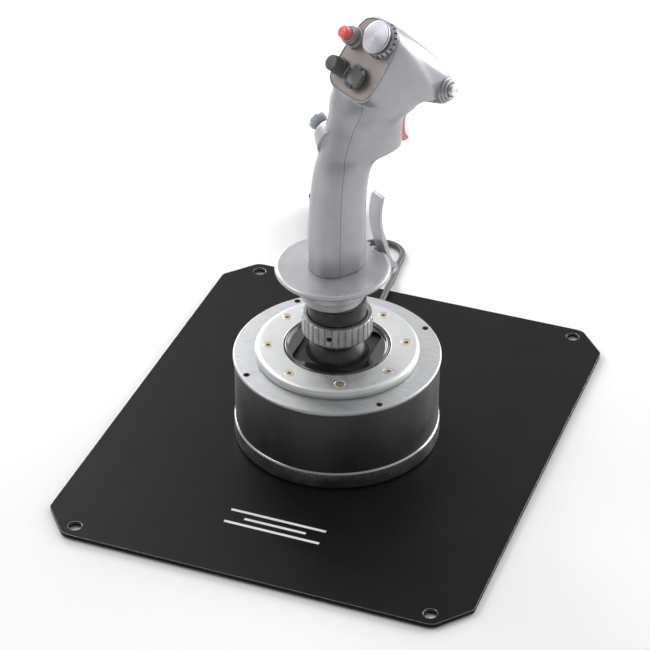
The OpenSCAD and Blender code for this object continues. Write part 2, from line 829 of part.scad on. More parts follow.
module trigger() {
    color([0.85, 0.22, 0.24]) in_grip() difference() {
        union() {
            side_plate(trigger_half, [
                [50.5, 247], [57, 247], [57, 241], [54, 236], [52.8, 231], [52.8, 226], [53.8, 221], [56.2, 217],
                [50.6, 216.4], [50, 222], [50, 230], [50.2, 238]
            ]);
            translate([-trigger_half, trigger_y, trigger_z]) rotate([0, 90, 0])
                cylinder(r = 4, h = 2 * trigger_half);
        }
        translate([-20, trigger_y, trigger_z]) rotate([0, 90, 0])
            cylinder(r = trigger_pin_r + pin_fit, h = 40, $fn = 32);
    }
}

module trigger_pin() {
    color([0.7, 0.7, 0.7]) in_grip() translate([0, trigger_y, trigger_z]) rotate([0, 90, 0])
        cylinder(r = trigger_pin_r, h = 22, center = true, $fn = 32);
}

module paddle() {
    color([0.58, 0.58, 0.6]) in_grip() difference() {
        union() {
            side_plate(paddle_half, [
                [34.8, 179.5], [33, 170], [32.8, 160], [34.8, 150], [37.8, 142], [40.2, 132], [43.6, 124], [43.6, 121],
                [38.2, 121], [37.2, 132], [34.8, 140], [32.2, 149], [30.6, 159], [30.8, 170], [32.4, 177.5]
            ]);
            translate([-paddle_half, paddle_y, paddle_z]) rotate([0, 90, 0]) cylinder(r = 3.3, h = 2 * paddle_half);
        }
        translate([-20, paddle_y, paddle_z]) rotate([0, 90, 0]) cylinder(r = 1.5 + pin_fit, h = 40, $fn = 32);
    }
}

module paddle_bracket() {
    color([0.5, 0.5, 0.52]) in_grip() difference() {
        union() {
            for (side = [-1, 1])
                translate([side * (paddle_half + 2.2), 0, 0]) side_plate(1.2, [
                    [22, 119.5], [22, 131], [37, 132.5], [43.5, 125], [44.4, 121.5], [43.5, 119], [41, 118], [30, 118]
                ]);
            translate([-paddle_half - 3.4, 22, 119.5]) cube([2 * paddle_half + 6.8, 5, 7]);
        }
        translate([0, rest_y, 0]) rest_profile();
        translate([-20, paddle_y, paddle_z]) rotate([0, 90, 0]) cylinder(r = 1.5, h = 40, $fn = 32);
    }
}

module paddle_pin() {
    color([0.85, 0.85, 0.86]) in_grip() translate([0, paddle_y, paddle_z]) rotate([0, 90, 0])
        cylinder(r = 1.5, h = 2 * paddle_half + 8.4, center = true, $fn = 32);
}

// ---------- cord ----------

module strain_relief() {
    cord_r = cord_d / 2;
    color([0.08, 0.08, 0.08]) on_plate() translate([relief_x, 0, relief_z]) rotate([-90, 0, 0]) rotate_extrude($fn = 48)
        polygon([
            [0, 54], [4.3, 54], [4.3, 55.5], [4, 55.5], [4, 71], [5.2, 71], [5.2, 73.5],
            [cord_r + 0.6, relief_end], [0, relief_end]
        ]);
}

function cord_ring(i, sides) =
    let (
        p = CORD[i],
        ahead = CORD[min(i + 1, len(CORD) - 1)] - CORD[max(i - 1, 0)],
        t = ahead / norm(ahead),
        side = cross([0, 0, 1], t) / norm(cross([0, 0, 1], t)),
        up = cross(t, side)
    )
    [for (k = [0 : sides - 1]) p + cord_d / 2 * (cos(k * 360 / sides) * side + sin(k * 360 / sides) * up)];

module usb_cord() {
    sides = 8;
    rings = len(CORD);
    points = [for (i = [0 : rings - 1]) each cord_ring(i, sides)];
    walls = [
        for (i = [0 : rings - 2], k = [0 : sides - 1])
            let (n = (k + 1) % sides)
            [i * sides + k, (i + 1) * sides + k, (i + 1) * sides + n, i * sides + n]
    ];
    ends = [
        [for (k = [0 : sides - 1]) k],
        [for (k = [sides - 1 : -1 : 0]) (rings - 1) * sides + k]
    ];
    color([0.12, 0.12, 0.12]) polyhedron(points = points, faces = concat(walls, ends), convexity = 6);
}

module in_hank() {
    translate([hank_at[0], hank_at[1], 0]) rotate([0, 0, hank_turn]) children();
}

module stadium(radius, height) {
    linear_extrude(height) {
        for (side = [-1, 1]) translate([0, side * hank_run / 2]) circle(r = radius, $fn = 96);
        square([2 * radius, hank_run], center = true);
    }
}

module cord_hank() {
    color([0.14, 0.14, 0.14]) in_hank() difference() {
        stadium(hank_outer, hank_h);
        translate([0, 0, -1]) stadium(hank_inner, hank_h + 2);
        tie_block();
        hank_entry();
    }
}

module tie_block() {
    translate([-hank_outer - 1.2, -5, -eps]) cube([2 * hank_outer + 2.4, 10, hank_h + 1.2]);
}

// Room where the cord runs into the hank's outer lane
module hank_entry() {
    translate([hank_outer - cord_d - 0.1, hank_entry_v, -1]) cube([cord_d + 1, 17.1, cord_d + 1.1]);
}

module cord_tie() {
    color([0.08, 0.08, 0.08]) in_hank() translate([-hank_outer - 1.2, -5, 0])
        cube([2 * hank_outer + 2.4, 10, hank_h + 1.2]);
}

module usb_plug() {
    color([0.1, 0.1, 0.1]) in_hank() translate([-14.4, 8, hank_h]) {
        translate([-7.5, 0, 0]) cube([15, 26, 8]);
        translate([-6, 26, 1.75]) cube([12, 12, 4.5]);
    }
}

mounting_plate();
rubber_pads();
plate_screws();
base_cover();
housing_shell();
top_ring();
top_ring_screws();
gate_flange();
flange_screws();
gate_insert();
ball_seat();
ball_retainer();
retainer_screws();
fixed_magnet();
sensor_board();
board_screws();
strain_relief();
usb_cord();
cord_hank();
cord_tie();
usb_plug();
guide_pins();
pivot_ball();
lower_shaft();
moving_magnet();
connector_plate();
connector_screws();
connector_socket();
collar_nut();
threaded_stub();
grip_plug();
hand_rest();
front_shell();
rear_shell();
shell_screws();
head_panel();
switch_board();
wire_bundle();
pickle_collar();
trim_base();
castle_base();
round_base();
side_base();
front_button_collar();
trigger_pin();
paddle_bracket();
paddle_pin();
trigger();
pickle_button();
front_button();
paddle();
trim_rocker();
trim_hat();
castle_rocker();
castle_hat();
round_rocker();
round_hat();
side_rocker();
side_hat();
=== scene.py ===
import json
import math

import bmesh
import bpy
from mathutils import Matrix, Vector


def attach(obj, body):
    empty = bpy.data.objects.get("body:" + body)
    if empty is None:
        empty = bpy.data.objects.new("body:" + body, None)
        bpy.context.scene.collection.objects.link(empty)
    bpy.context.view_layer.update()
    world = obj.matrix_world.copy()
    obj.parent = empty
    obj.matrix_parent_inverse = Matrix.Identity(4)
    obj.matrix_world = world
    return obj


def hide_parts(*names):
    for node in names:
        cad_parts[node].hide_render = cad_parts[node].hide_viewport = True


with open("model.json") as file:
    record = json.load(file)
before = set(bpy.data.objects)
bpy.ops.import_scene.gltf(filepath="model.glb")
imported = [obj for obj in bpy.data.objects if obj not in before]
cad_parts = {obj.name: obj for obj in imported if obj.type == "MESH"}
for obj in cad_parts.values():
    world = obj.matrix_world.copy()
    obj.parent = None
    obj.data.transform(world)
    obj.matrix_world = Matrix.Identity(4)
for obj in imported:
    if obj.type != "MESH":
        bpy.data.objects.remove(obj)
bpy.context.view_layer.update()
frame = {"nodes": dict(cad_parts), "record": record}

# Lengths below are millimetres unless a name ends in _m. The row frame is +Z up, +Y away from the pilot.
MM = 0.001
SLOT_OF = {s["node"]: s["material_slot"] for s in frame["record"]["subparts"]}

# ---------- places ----------

DECK = 4.5
GRIP_YAW = 33.35
FACE_ORIGIN = (0, 12, 274.6)
FACE_SLOPE = 52.3
TRIM_AT = (6.8, 30.2)
PICKLE_AT = (-15.5, 22.4)
CASTLE_AT = (4.3, 1.4)
ROUND_AT = (-14, 1.6)
HANK_AT = (-87.62, 235.67)
HANK_TURN = 20.65
HANK_RUN = 72.5
CORD_D = 4.8


def turn(degrees, axis):
    return Matrix.Rotation(math.radians(degrees), 4, axis)


def shift(x, y, z):
    return Matrix.Translation((x, y, z))


PLATE = shift(0, 0, DECK)
GRIP = PLATE @ turn(-GRIP_YAW, "Z")
FACE = GRIP @ shift(*FACE_ORIGIN) @ turn(FACE_SLOPE, "X")
SIDE_BOSS = GRIP @ shift(-17, 1.5, 233) @ turn(-72, "Y")
BEAK_BOSS = GRIP @ shift(15, 76, 252) @ turn(20, "Z") @ turn(80, "Y")


def on_face(at):
    return FACE @ shift(at[0], at[1], 0)


# ---------- camera ----------


def make_camera():
    data = bpy.data.cameras.new("camera")
    data.sensor_width = 36
    data.lens = 135.86
    data.clip_start = 0.05
    data.clip_end = 20
    camera = bpy.data.objects.new("camera", data)
    camera.location = (0.4792, -1.2953, 1.0434)
    camera.rotation_euler = (math.radians(90 - 34.59), 0, math.radians(20.65))
    bpy.context.scene.collection.objects.link(camera)
    bpy.context.scene.camera = camera


make_camera()

# ---------- materials ----------


class Look:
    """A procedural material: a principled shader whose colour, roughness and bump come from noise."""

    def __init__(self, name, color, metallic, rough, **values):
        self.material = bpy.data.materials.new(name)
        self.material.use_nodes = True
        self.material.diffuse_color = (*color, 1)
        self.nodes = self.material.node_tree.nodes
        self.links = self.material.node_tree.links
        self.shader = self.nodes["Principled BSDF"]
        self.shader.inputs["Metallic"].default_value = metallic
        for key, value in values.items():
            self.shader.inputs[key.replace("_", " ")].default_value = value
        self.color = color
        self.rough = rough
        self.place = self.nodes.new("ShaderNodeTexCoord").outputs["Object"]
        self.normal = None

    def node(self, kind, **settings):
        made = self.nodes.new(kind)
        for key, value in settings.items():
            setattr(made, key, value)
        return made

    def join(self, source, target):
        self.links.new(source, target)

    def math(self, operation, a, b=0.0):
        made = self.node("ShaderNodeMath", operation=operation)
        for k, value in enumerate((a, b)):
            if isinstance(value, (int, float)):
                made.inputs[k].default_value = value
            else:
                self.join(value, made.inputs[k])
        return made.outputs[0]

    def noise(self, size_mm, detail=3, vector=None):
        """Noise whose features are about size_mm across."""
        made = self.node("ShaderNodeTexNoise")
        made.inputs["Scale"].default_value = 1000 / size_mm
        made.inputs["Detail"].default_value = detail
        self.join(vector or self.place, made.inputs["Vector"])
        return made.outputs["Fac"]

    def turned(self, size_mm):
        """Noise in rings round the local Z axis, as a lathe leaves."""
        axes = self.node("ShaderNodeSeparateXYZ")
        self.join(self.place, axes.inputs[0])
        across = self.math("ADD", self.math("POWER", axes.outputs[0], 2.0), self.math("POWER", axes.outputs[1], 2.0))
        ring = self.node("ShaderNodeCombineXYZ")
        self.join(self.math("SQRT", across), ring.inputs[0])
        self.join(axes.outputs[2], ring.inputs[1])
        return self.noise(size_mm, 2, ring.outputs[0])

    def stretched(self, size_mm, ratios):
        """Noise drawn out along the axes that have a small ratio, as brushing leaves."""
        made = self.node("ShaderNodeMapping")
        made.inputs["Scale"].default_value = ratios
        self.join(self.place, made.inputs["Vector"])
        return self.noise(size_mm, 3, made.outputs[0])

    def spread(self, value, low, high, start=0.3, end=0.7):
        made = self.node("ShaderNodeMapRange")
        for key, number in (("From Min", start), ("From Max", end), ("To Min", low), ("To Max", high)):
            made.inputs[key].default_value = number
        self.join(value, made.inputs["Value"])
        return made.outputs[0]

    def vary_color(self, value, amount=0.12, other=None):
        low = [c * (1 - amount) for c in self.color]
        high = other or [min(1, c * (1 + amount)) for c in self.color]
        made = self.node("ShaderNodeMix", data_type="RGBA")
        made.inputs["A"].default_value = (*low, 1)
        made.inputs["B"].default_value = (*high, 1)
        self.join(self.spread(value, 0, 1), made.inputs["Factor"])
        self.join(made.outputs["Result"], self.shader.inputs["Base Color"])
        return self

    def vary_rough(self, value, amount=0.08):
        self.join(self.spread(value, self.rough - amount, self.rough + amount), self.shader.inputs["Roughness"])
        return self

    def bump(self, value, height_mm, strength=1.0):
        made = self.node("ShaderNodeBump")
        made.inputs["Distance"].default_value = height_mm * MM
        made.inputs["Strength"].default_value = strength
        self.join(value, made.inputs["Height"])
        if self.normal:
            self.join(self.normal, made.inputs["Normal"])
        self.normal = made.outputs[0]
        self.join(self.normal, self.shader.inputs["Normal"])
        return self


def powder_coat(name, color, rough):
    look = Look(name, color, 0, rough, Specular_IOR_Level=0.1)
    return look.vary_color(look.noise(40), 0.1).vary_rough(look.noise(14), 0.05).bump(look.noise(0.7), 0.03)


def satin_paint(name, color, rough, metallic=0.55):
    look = Look(name, color, metallic, rough)
    look.vary_color(look.noise(22), 0.07).vary_rough(look.noise(9), 0.06)
    return look.bump(look.noise(0.35, 4), 0.012)


def turned_metal(name, color, rough, size_mm=0.25, height_mm=0.006):
    look = Look(name, color, 1, rough)
    lines = look.turned(size_mm)
    return look.vary_color(lines, 0.06).vary_rough(look.turned(size_mm * 3), 0.07).bump(lines, height_mm)


def blasted_metal(name, color, rough):
    look = Look(name, color, 1, rough)
    return look.vary_color(look.noise(12), 0.05).vary_rough(look.noise(5), 0.05).bump(look.noise(0.2, 2), 0.01)


def drawn_metal(name, color, rough):
    """Metal polished round its axis, so that lights smear along the axis."""
    look = Look(name, color, 1, rough, Anisotropic=0.92, Anisotropic_Rotation=0.25)
    tangent = look.node("ShaderNodeTangent", direction_type="RADIAL", axis="Z")
    look.join(tangent.outputs[0], look.shader.inputs["Tangent"])
    grain = look.turned(0.4)
    return look.vary_color(grain, 0.12).vary_rough(look.noise(20), 0.05).bump(look.turned(0.2), 0.002)


def brushed_metal(name, color, rough):
    """Metal brushed in straight strokes along the local X axis."""
    look = Look(name, color, 1, rough)
    strokes = look.stretched(0.3, (0.03, 1, 1))
    look.vary_color(strokes, 0.16).vary_rough(look.stretched(1.2, (0.1, 1, 1)), 0.07)
    return look.bump(strokes, 0.03)


def textured_metal(name, color, rough):
    look = Look(name, color, 0.6, rough)
    return look.vary_color(look.noise(6), 0.2).vary_rough(look.noise(2), 0.1).bump(look.noise(0.5, 4), 0.05)


def moulded(name, color, rough, height_mm=0.01):
    look = Look(name, color, 0, rough)
    return look.vary_color(look.noise(15), 0.08).vary_rough(look.noise(4), 0.05).bump(look.noise(0.3, 3), height_mm)


def backdrop(name, color, rough):
    look = Look(name, color, 0, rough, Specular_IOR_Level=0.2)
    return look.vary_color(look.noise(3), 0.01).vary_rough(look.noise(6), 0.03).bump(look.noise(1), 0.01)


def gloss(name, color, rough):
    look = Look(name, color, 0, rough, Coat_Weight=0.6, Coat_Roughness=0.06)
    return look.vary_color(look.noise(8), 0.06).vary_rough(look.noise(3), 0.03).bump(look.noise(1.5), 0.004)


def woven(name, color):
    look = Look(name, color, 0, 0.85, Sheen_Weight=0.3)
    waves = look.node("ShaderNodeTexWave", wave_type="BANDS", bands_direction="Z")
    waves.inputs["Scale"].default_value = 500
    look.join(look.place, waves.inputs["Vector"])
    return look.vary_color(waves.outputs["Fac"], 0.3).vary_rough(look.noise(2), 0.05).bump(waves.outputs["Fac"], 0.15)


LOOKS = {
    "plate_paint": powder_coat("plate_paint", (0.007, 0.007, 0.008), 0.45),
    "bare_edge": blasted_metal("bare_edge", (0.62, 0.62, 0.63), 0.3),
    "print_white": moulded("print_white", (0.75, 0.75, 0.74), 0.5),
    "pad_rubber": moulded("pad_rubber", (0.02, 0.02, 0.02), 0.8, 0.03),
    "dark_screw": turned_metal("dark_screw", (0.1, 0.1, 0.105), 0.35),
    "zinc_screw": turned_metal("zinc_screw", (0.66, 0.58, 0.42), 0.32),
    "bright_steel": turned_metal("bright_steel", (0.62, 0.62, 0.63), 0.25),
    "cover_alu": drawn_metal("cover_alu", (0.42, 0.42, 0.43), 0.22),
    "shell_black": drawn_metal("shell_black", (0.09, 0.09, 0.094), 0.38),
    "ring_alu": brushed_metal("ring_alu", (0.5, 0.51, 0.52), 0.42),
    "flange_alu": blasted_metal("flange_alu", (0.62, 0.63, 0.63), 0.46),
    "gate_plastic": gloss("gate_plastic", (0.012, 0.012, 0.013), 0.14),
    "seat_metal": turned_metal("seat_metal", (0.1, 0.1, 0.105), 0.4),
    "retainer_black": moulded("retainer_black", (0.012, 0.012, 0.012), 0.55),
    "magnet": turned_metal("magnet", (0.55, 0.55, 0.56), 0.22),
    "board_green": gloss("board_green", (0.01, 0.12, 0.04), 0.35),
    "cord_rubber": moulded("cord_rubber", (0.09, 0.09, 0.093), 0.4, 0.02),
    "tie_fabric": woven("tie_fabric", (0.02, 0.02, 0.02)),
    "plug_plastic": moulded("plug_plastic", (0.02, 0.02, 0.021), 0.55, 0.02),
    "ball_metal": textured_metal("ball_metal", (0.06, 0.06, 0.063), 0.3),
    "collar_metal": textured_metal("collar_metal", (0.36, 0.36, 0.37), 0.36),
    "socket_brass": turned_metal("socket_brass", (0.75, 0.55, 0.24), 0.25),
    "grip_metal": satin_paint("grip_metal", (0.4, 0.4, 0.425), 0.34),
    "rest_metal": satin_paint("rest_metal", (0.48, 0.48, 0.5), 0.32),
    "panel_dark": satin_paint("panel_dark", (0.34, 0.305, 0.29), 0.36),
    "wire_sleeve": moulded("wire_sleeve", (0.02, 0.02, 0.02), 0.7, 0.04),
    "hat_dark": moulded("hat_dark", (0.11, 0.11, 0.115), 0.32),
    "hat_base_dark": moulded("hat_base_dark", (0.15, 0.15, 0.15), 0.35),
    "hat_silver": turned_metal("hat_silver", (0.52, 0.52, 0.56), 0.36, 0.4, 0.012),
    "side_cap": moulded("side_cap", (0.42, 0.46, 0.53), 0.42),
    "side_brass": blasted_metal("side_brass", (0.55, 0.47, 0.3), 0.38),
    "button_red": gloss("button_red", (0.92, 0.15, 0.15), 0.28),
    "button_silver": turned_metal("button_silver", (0.72, 0.72, 0.73), 0.28),
    "trigger_red": gloss("trigger_red", (0.9, 0.19, 0.2), 0.34),
    "paddle_metal": satin_paint("paddle_metal", (0.56, 0.56, 0.58), 0.36),
    "floor": backdrop("floor", (0.9, 0.9, 0.9), 0.8),
}

# ---------- mesh helpers ----------

# Turns an outline drawn in y and z into a prism that runs along X
ACROSS = Matrix(((0, 0, 1, 0), (1, 0, 0, 0), (0, 1, 0, 0), (0, 0, 0, 1)))


def smoothstep_points(a, corner, b, steps):
    """A round corner between a and b, as points on a parabola that leans on the corner."""
    made = []
    for i in range(steps + 1):
        t = i / steps
        made.append(a.lerp(corner, t).lerp(corner.lerp(b, t), t))
    return made


def rounded(points, closed=True, steps=4):
    """An outline whose corners are rounded by the third number of each point, where it has one."""
    flat = [Vector(p[:2]) for p in points]
    made = []
    for i, p in enumerate(points):
        here = flat[i]
        radius = p[2] if len(p) > 2 else 0
        if not radius or (not closed and i in (0, len(points) - 1)):
            made.append(here)
            continue
        before, after = flat[i - 1], flat[(i + 1) % len(flat)]
        a = here + (before - here).normalized() * min(radius, (before - here).length * 0.48)
        b = here + (after - here).normalized() * min(radius, (after - here).length * 0.48)
        made.extend(smoothstep_points(a, here, b, steps))
    return made


def smooth_line(points, steps, tension=0.5):
    """A curve through the points, each any number of values, with `steps` pieces between two of them."""
    made = []
    for i in range(len(points) - 1):
        p0 = points[max(i - 1, 0)]
        p1, p2 = points[i], points[i + 1]
        p3 = points[min(i + 2, len(points) - 1)]
        for k in range(steps):
            t = k / steps
            h1, h2 = 2 * t**3 - 3 * t**2 + 1, -2 * t**3 + 3 * t**2
            m1, m2 = t**3 - 2 * t**2 + t, t**3 - t**2
            made.append([
                h1 * b + h2 * c + tension * (m1 * (c - a) + m2 * (d - b))
                for a, b, c, d in zip(p0, p1, p2, p3)
            ])
    made.append(list(points[-1]))
    return made


def link(name, mesh, place):
    made = bpy.data.objects.new(name, mesh)
    local = place.copy()
    local.translation = place.translation * MM
    made.matrix_world = local
    bpy.context.scene.collection.objects.link(made)
    return made


def build(name, points, faces, place=PLATE):
    """A mesh object from local points in millimetres. It stands at its place, so that its texture turns with it."""
    mesh = bpy.data.meshes.new(name)
    mesh.from_pydata([[c * MM for c in p] for p in points], [], faces)
    shell = bmesh.new()
    shell.from_mesh(mesh)
    bmesh.ops.recalc_face_normals(shell, faces=shell.faces)
    shell.to_mesh(mesh)
    shell.free()
    mesh.validate()
    return link(name, mesh, place)


def skin(rings, closed_ends=True):
    """Points and faces of a tube through rings of equal length."""
    count = len(rings[0])
    points = [p for ring in rings for p in ring]
    faces = []
    for i in range(len(rings) - 1):
        for k in range(count):
            n = (k + 1) % count
            faces.append((i * count + k, i * count + n, (i + 1) * count + n, (i + 1) * count + k))
    if closed_ends:
        faces.append(tuple(range(count)))
        faces.append(tuple((len(rings) - 1) * count + k for k in range(count)))
    return points, faces


def lathe(name, profile, place=PLATE, segments=128, radius=None):
    """A turned solid. The profile is a closed outline of (r, z). radius(angle, r, z) may ripple it."""
    angles = [k * 2 * math.pi / segments for k in range(segments)]
    points, index = [], []
    for r, z in profile:
        if r < 1e-6:
            index.append([len(points)] * segments)
            points.append((0, 0, z))
            continue
        index.append(list(range(len(points), len(points) + segments)))
        for a in angles:
            rr = radius(a, r, z) if radius else r
            points.append((rr * math.cos(a), rr * math.sin(a), z))
    faces = []
    for i in range(len(profile)):
        j = (i + 1) % len(profile)
        for k in range(segments):
            n = (k + 1) % segments
            corners = [index[i][k], index[i][n], index[j][n], index[j][k]]
            unique = list(dict.fromkeys(corners))
            if len(unique) > 2:
                faces.append(unique)
    return build(name, points, faces, place)


def prism(name, outline, low, high, place=PLATE):
    """An outline of (x, y), drawn up from low to high along the local Z axis."""
    return build(name, *skin([[(x, y, z) for x, y in outline] for z in (low, high)]), place)


def circle(radius, at=(0, 0), segments=48, start=0.0):
    return [
        (at[0] + radius * math.cos(start + k * 2 * math.pi / segments),
         at[1] + radius * math.sin(start + k * 2 * math.pi / segments))
        for k in range(segments)
    ]


def round_box(half_x, half_y, corner, at=(0, 0), steps=8):
    made = []
    for quarter in range(4):
        cx = (half_x - corner) * (1, -1, -1, 1)[quarter]
        cy = (half_y - corner) * (1, 1, -1, -1)[quarter]
        for i in range(steps + 1):
            a = math.pi / 2 * (quarter + i / steps)
            made.append((at[0] + cx + corner * math.cos(a), at[1] + cy + corner * math.sin(a)))
    return made


def bake(obj):
    """Applies the object's modifiers to its mesh."""
    bpy.context.view_layer.update()
    dg = bpy.context.evaluated_depsgraph_get()
    done = bpy.data.meshes.new_from_object(obj.evaluated_get(dg))
    obj.modifiers.clear()
    old = obj.data
    obj.data = done
    bpy.data.meshes.remove(old)
    return obj


def combine(obj, tools, operation="DIFFERENCE"):
    """Cuts the tools from the object, adds them or keeps what they share, and throws them away."""
    for tool in tools if isinstance(tools, list) else [tools]:
        step = obj.modifiers.new("combine", "BOOLEAN")
        step.object = tool
        step.operation = operation
        step.solver = "EXACT"
        bake(obj)
        mesh = tool.data
        bpy.data.objects.remove(tool)
        bpy.data.meshes.remove(mesh)
    return obj


def merge(name, objs):
    """Joins objects into one, in the first one's place."""
    target = objs[0]
    shell = bmesh.new()
    back = target.matrix_world.inverted()
    for o in objs:
        part = o.data.copy()
        part.transform(back @ o.matrix_world)
        shell.from_mesh(part)
        bpy.data.meshes.remove(part)
    shell.to_mesh(target.data)
    shell.free()
    for o in objs[1:]:
        mesh = o.data
        bpy.data.objects.remove(o)
        bpy.data.meshes.remove(mesh)
    target.name = name
    return target


def soften(obj, width=0.3, segments=2, angle=35):
    """Rounds the sharp edges a little, so that they catch the light."""
    step = obj.modifiers.new("edges", "BEVEL")
    step.width = width * MM
    step.segments = segments
    step.limit_method = "ANGLE"
    step.angle_limit = math.radians(angle)
    step.miter_outer = "MITER_ARC"
    step.harden_normals = False
    return obj


def finish_piece(obj, look, body, nodes=(), angle=40):
    """Shades the piece, gives it its material and lets it ride on its body."""
    obj.data.shade_smooth()
    obj.data.set_sharp_from_angle(angle=math.radians(angle))
    obj.data.materials.clear()
    obj.data.materials.append(LOOKS[look].material)
    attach(obj, body)
    if nodes:
        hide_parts(*nodes)
    return obj


def around(count, radius, start=0.0):
    """Places round the Z axis, each turned with its angle."""
    for k in range(count):
        yield turn(start + k * 360 / count, "Z") @ shift(radius, 0, 0)


# ---------- cord ----------

# The route above the desk, from the strain relief to the hank of spare cord
ROUTE = [
    (-19, 94, 12.9), (-19, 101, 12.9), (-19.2, 108, 11.4), (-19.5, 115, 9.2), (-20, 123, 7.4), (-20.4, 133, 7),
    (-21, 145, 7), (-22, 158, 7), (-23, 168, 7), (-23.6, 175, 7), (-24.2, 180, 6.2), (-25, 186, 4.4),
    (-26, 192, 2.8), (-27, 199, 2.45), (-28, 207, 2.45), (-29, 215, 2.45), (-29.5, 223, 2.45), (-31.2, 230.6, 2.45),
    (-35.9, 236.8, 2.45), (-42.8, 240.4, 2.45), (-50.6, 240.7, 2.45), (-56.2, 238.7, 2.45),
    (-60.4, 236, 2.45), (-63.2, 231, 2.45), (-63.3, 225.25, 2.45), (-61.95, 220.76, 2.45), (-60.83, 217.88, 2.45)
]
HANK = shift(*HANK_AT, 0) @ turn(HANK_TURN, "Z")
# The hank lies 1.9 mm beside the CAD one, so that the grip hides it. Each lane: its end radius and its height
INNER_LANE, OUTER_LANE = 14, 18.8
LANES = [
    (OUTER_LANE, 2.45), (INNER_LANE, 2.45), (INNER_LANE, 7.2), (OUTER_LANE, 7.2), (OUTER_LANE, 12), (INNER_LANE, 12),
    (INNER_LANE, 16.8)
]
PLUG_AT = (-14.4, 8, 18.4)


def ease(t):
    t = min(1, max(0, t))
    return t * t * (3 - 2 * t)


def hank_line():
    """Six turns round two ends, each stepping to the next lane along the right side, then half a turn to the plug."""
    half = HANK_RUN / 2
    made = []
    for i, (radius, height) in enumerate(LANES):
        for k in range(13):
            a = -math.pi * k / 13
            made.append((radius * math.cos(a), -half + radius * math.sin(a), height))
        if i == len(LANES) - 1:
            break
        for k in range(8):
            made.append((-radius, -half + HANK_RUN * k / 8, height))
        for k in range(13):
            a = math.pi * (1 - k / 13)
            made.append((radius * math.cos(a), half + radius * math.sin(a), height))
        next_radius, next_height = LANES[i + 1]
        for k in range(12):
            s = ease((k / 12 - 0.1) / 0.8)
            side = radius + (next_radius - radius) * s
            made.append((side, half - HANK_RUN * k / 12, height + (next_height - height) * s))
    x, y, z = PLUG_AT
    for k in range(9):
        s = ease(k / 8)
        made.append((-radius + (x + radius) * s, -half + (y + half) * k / 8, height + (z - height) * s))
    return [tuple(HANK @ Vector(p)) for p in made]


def make_cord():
    line = smooth_line(ROUTE, 4, 0.5) + hank_line()
    length = sum((Vector(b) - Vector(a)).length for a, b in zip(line, line[1:]))
    data = bpy.data.curves.new("usb_lead", "CURVE")
    data.dimensions = "3D"
    data.bevel_depth = CORD_D / 2 * MM
    data.bevel_resolution = 5
    data.use_fill_caps = True
    spline = data.splines.new("POLY")
    spline.points.add(len(line) - 1)
    spline.use_smooth = True
    for point, at in zip(spline.points, line):
        point.co = (*[c * MM for c in at], 1)
    cord = bpy.data.objects.new("usb_lead", data)
    bpy.context.scene.collection.objects.link(cord)
    data.materials.append(LOOKS["cord_rubber"].material)
    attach(cord, "base")
    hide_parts("usb_cord", "cord_hank")
    return cord, length * MM


def make_tie():
    """A strap round the middle of the hank."""
    place = HANK @ shift(0, 0, 7.8) @ turn(90, "X")
    strap = prism("cord_strap", round_box(21.7, 7.8, 2.6), -5, 5, place)
    combine(strap, prism("hole", round_box(21.25, 7.0, 2), -6, 6, place))
    soften(strap, 0.25)
    return finish_piece(strap, "tie_fabric", "base", ["cord_tie"])


def make_plug():
    """A moulded USB plug with finger grooves, a folded shell and its tongue."""
    place = HANK @ shift(*PLUG_AT) @ turn(-90, "X")
    body = prism("plug_body", round_box(7.5, 4, 2.4), 4, 26, place)
    neck = build("neck", *skin([
        [(x, y, z) for x, y in round_box(*half)]
        for z, half in ((0, (3.4, 2.9, 2.4)), (2, (4.6, 3.3, 2.6)), (4.1, (6.3, 3.7, 2.6)))
    ]), place)
    combine(body, neck, "UNION")
    for side in (-1, 1):
        for k in range(4):
            combine(body, prism(
                "groove", round_box(4, 0.5, 0.45), -0.3, 0.3, place @ shift(0, side * 4, 10 + k * 2.6) @ turn(90, "X")
            ))
    soften(body, 0.4, 3)
    finish_piece(body, "plug_plastic", "base", ["usb_plug"])
    shell = prism("plug_shell", round_box(6, 2.25, 0.5), 25.5, 38, place)
    combine(shell, prism("hollow", round_box(5.65, 1.9, 0.3), 27, 40, place))
    for x in (-2.6, 2.6):
        combine(shell, prism("window", round_box(1.1, 1.1, 0.1), -4, 4, place @ shift(x, 0, 33) @ turn(90, "X")))
    soften(shell, 0.12)
    finish_piece(shell, "bright_steel", "base")
    tongue = prism("plug_tongue", round_box(5.4, 0.85, 0.2), 26, 37, place @ shift(0, 0.8, 0))
    soften(tongue, 0.15)
    finish_piece(tongue, "plug_plastic", "base")
    return [body, shell, tongue]


def make_strain_relief():
    """A moulded boot with ribs, tapering to the cord."""
    profile = [(0, 54), (4.3, 54), (4.3, 55.5), (4, 55.5), (4, 71), (5.2, 71, 0.4), (5.2, 73.4, 0.5)]
    ribs = 7
    for k in range(ribs):
        y0 = 74.2 + k * 2.6
        r = 4.9 - k * 0.27
        profile += [(r - 0.8, y0, 0.2), (r, y0 + 0.5, 0.3), (r - 0.1, y0 + 1.6, 0.3), (r - 0.9, y0 + 2.1, 0.2)]
    profile += [(2.9, 93, 0.2), (2.9, 94, 0.3), (0, 94)]
    boot = lathe("cord_boot", rounded(profile, steps=2), PLATE @ shift(-19, 0, 8.4) @ turn(-90, "X"), 48)
    return finish_piece(boot, "cord_rubber", "base", ["strain_relief"])


lead, lead_length = make_cord()
strap = make_tie()
plug = make_plug()
boot = make_strain_relief()

# ---------- plate ----------


WELD_M = 0.00001


